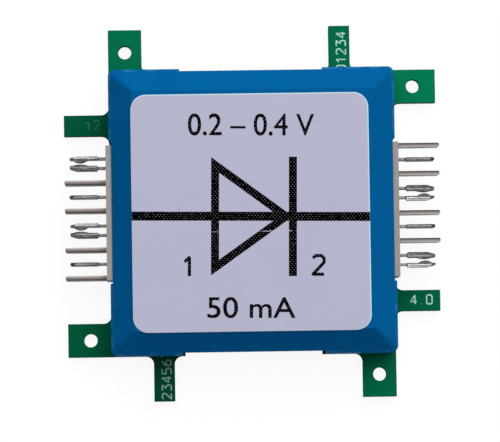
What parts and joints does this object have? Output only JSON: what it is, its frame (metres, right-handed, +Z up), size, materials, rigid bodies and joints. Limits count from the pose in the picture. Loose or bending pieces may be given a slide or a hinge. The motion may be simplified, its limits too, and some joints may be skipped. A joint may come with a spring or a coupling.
{
  "type": "germanium diode experiment block",
  "caption": "Plug-together experiment block with a germanium point-contact diode: tabbed circuit board, bevelled cap with a symbol label, and plug connectors on two edges.",
  "frame": {"origin": "middle of the circuit board's underside, which is the face the block rests on", "axes": "+Z up out of the label, +Y towards the top of the label, +X from the diode's anode to its cathode"},
  "size_m": [0.0448, 0.0448, 0.0097],
  "materials": {
    "board_laminate": "green solder mask, satin",
    "masked_copper": "copper under green solder mask",
    "solder": "tin solder, bright",
    "blue_plastic": "moulded, fine satin",
    "label_film": "matt coated label",
    "print_ink": "printed black",
    "connector_plastic": "moulded, matt beige",
    "contact_metal": "tin-plated spring bronze",
    "tinned_wire": "tinned wire",
    "whisker_wire": "bright gold-coloured wire",
    "germanium": "lapped grey crystal",
    "diode_glass": "clear glass",
    "seal_glass": "fused seal glass",
    "band_paint": "black paint"
  },
  "bodies": {
    "block": {"circuit_board": "board_laminate", "copper_tracks": "masked_copper", "solder_pads": "solder", "right_housing": "connector_plastic", "left_housing": "connector_plastic", "right_blade_1": "contact_metal", "right_blade_3": "contact_metal", "right_receptacle_2": "contact_metal", "right_receptacle_4": "contact_metal", "left_blade_1": "contact_metal", "left_blade_3": "contact_metal", "left_receptacle_2": "contact_metal", "left_receptacle_4": "contact_metal", "right_contact_solder": "solder", "left_contact_solder": "solder", "glass_envelope": "diode_glass", "anode_bead": "seal_glass", "cathode_bead": "seal_glass", "anode_lead": "tinned_wire", "cathode_lead": "tinned_wire", "whisker_post": "tinned_wire", "cat_whisker": "whisker_wire", "crystal_post": "tinned_wire", "germanium_crystal": "germanium", "cathode_band": "band_paint", "anode_solder": "solder", "cathode_solder": "solder"},
    "cap": {"cap": "blue_plastic", "label": "label_film", "label_print": "print_ink"},
    "right_beam_2a": {"right_beam_2a": "contact_metal"},
    "right_beam_2b": {"right_beam_2b": "contact_metal"},
    "right_beam_4a": {"right_beam_4a": "contact_metal"},
    "right_beam_4b": {"right_beam_4b": "contact_metal"},
    "left_beam_2a": {"left_beam_2a": "contact_metal"},
    "left_beam_2b": {"left_beam_2b": "contact_metal"},
    "left_beam_4a": {"left_beam_4a": "contact_metal"},
    "left_beam_4b": {"left_beam_4b": "contact_metal"}
  },
  "joints": [
    {"name": "cap_lift", "type": "slide", "parent": "block", "child": "cap", "axis": [0, 0, 1], "range_m": [0, 0.014]},
    {"name": "right_beam_2a_spread", "type": "hinge", "parent": "block", "child": "right_beam_2a", "pos_m": [0.0151, 0.00256, 0.0041], "axis": [0, 0, 1], "range_deg": [0, 1.5], "stiffness_Nm_per_rad": 0.25},
    {"name": "right_beam_2b_spread", "type": "hinge", "parent": "block", "child": "right_beam_2b", "pos_m": [0.0151, 0.00144, 0.0041], "axis": [0, 0, -1], "range_deg": [0, 1.5], "stiffness_Nm_per_rad": 0.25},
    {"name": "right_beam_4a_spread", "type": "hinge", "parent": "block", "child": "right_beam_4a", "pos_m": [0.0151, -0.00544, 0.0041], "axis": [0, 0, 1], "range_deg": [0, 1.5], "stiffness_Nm_per_rad": 0.25},
    {"name": "right_beam_4b_spread", "type": "hinge", "parent": "block", "child": "right_beam_4b", "pos_m": [0.0151, -0.00656, 0.0041], "axis": [0, 0, -1], "range_deg": [0, 1.5], "stiffness_Nm_per_rad": 0.25},
    {"name": "left_beam_2a_spread", "type": "hinge", "parent": "block", "child": "left_beam_2a", "pos_m": [-0.0151, -0.00256, 0.0041], "axis": [0, 0, 1], "range_deg": [0, 1.5], "stiffness_Nm_per_rad": 0.25},
    {"name": "left_beam_2b_spread", "type": "hinge", "parent": "block", "child": "left_beam_2b", "pos_m": [-0.0151, -0.00144, 0.0041], "axis": [0, 0, -1], "range_deg": [0, 1.5], "stiffness_Nm_per_rad": 0.25},
    {"name": "left_beam_4a_spread", "type": "hinge", "parent": "block", "child": "left_beam_4a", "pos_m": [-0.0151, 0.00544, 0.0041], "axis": [0, 0, 1], "range_deg": [0, 1.5], "stiffness_Nm_per_rad": 0.25},
    {"name": "left_beam_4b_spread", "type": "hinge", "parent": "block", "child": "left_beam_4b", "pos_m": [-0.0151, 0.00656, 0.0041], "axis": [0, 0, -1], "range_deg": [0, 1.5], "stiffness_Nm_per_rad": 0.25}
  ]
}
